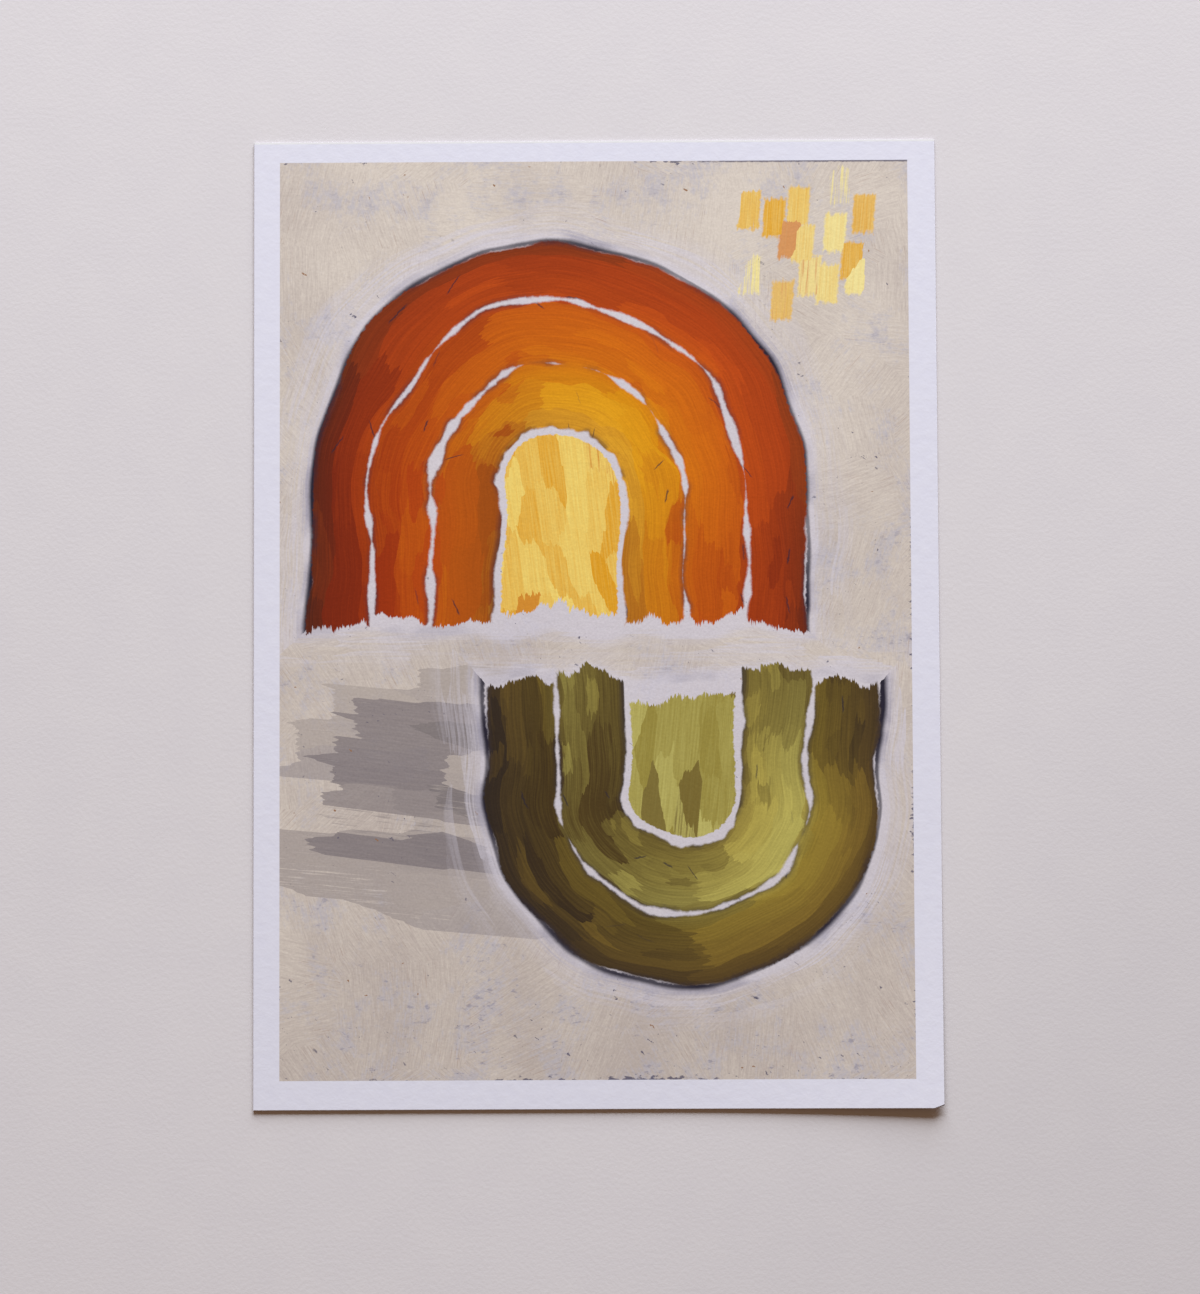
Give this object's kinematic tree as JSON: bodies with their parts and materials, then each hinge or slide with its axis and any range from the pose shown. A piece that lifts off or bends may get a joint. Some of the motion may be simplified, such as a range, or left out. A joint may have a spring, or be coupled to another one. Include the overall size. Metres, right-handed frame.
{
  "type": "art print",
  "caption": "Flat rectangular art print on heavy matte paper, with a printed picture inside a white border and one gently curled corner.",
  "frame": {"origin": "middle of the sheet on the plane it lies on, under its bounding box", "axes": "+X to the right along the short side, +Y along the long side to the top of the picture, +Z out of the printed face"},
  "size_m": [0.1484, 0.21, 0.0012],
  "materials": {
    "printed_paper": "bright white heavy matte paper with a fine tooth, printed on its upper face in matte ink"
  },
  "bodies": {
    "root": {"print_sheet": "printed_paper"}
  },
  "joints": []
}
